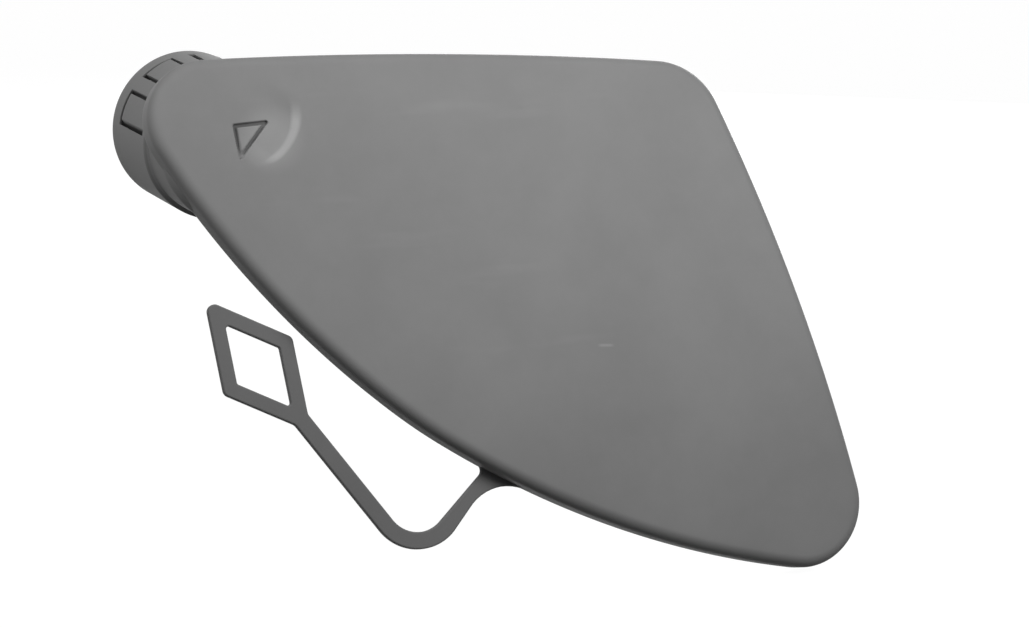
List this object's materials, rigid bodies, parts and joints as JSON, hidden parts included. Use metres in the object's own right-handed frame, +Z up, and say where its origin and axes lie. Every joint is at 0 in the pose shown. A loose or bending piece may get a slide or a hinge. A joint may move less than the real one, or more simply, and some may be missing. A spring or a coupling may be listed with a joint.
{
  "type": "bumper tow hook cover",
  "caption": "Cover for a bumper's tow hook hole: a crowned panel with a rolled edge, a finger scoop, a round snap collar behind it and a flat tether with a diamond loop.",
  "frame": {"origin": "centre of the collar's open rim, the end that goes into the bumper first", "axes": "+Y along the collar's axis into the bumper, +Z up, +X along the panel away from the collar; the face looks towards -Y with its top leaning back"},
  "size_m": [0.1566, 0.0685, 0.1177],
  "materials": {
    "cover_plastic": "satin unpainted moulded plastic, faint mottling and fine scuffs"
  },
  "bodies": {
    "root": {"cover": "cover_plastic"}
  },
  "joints": []
}
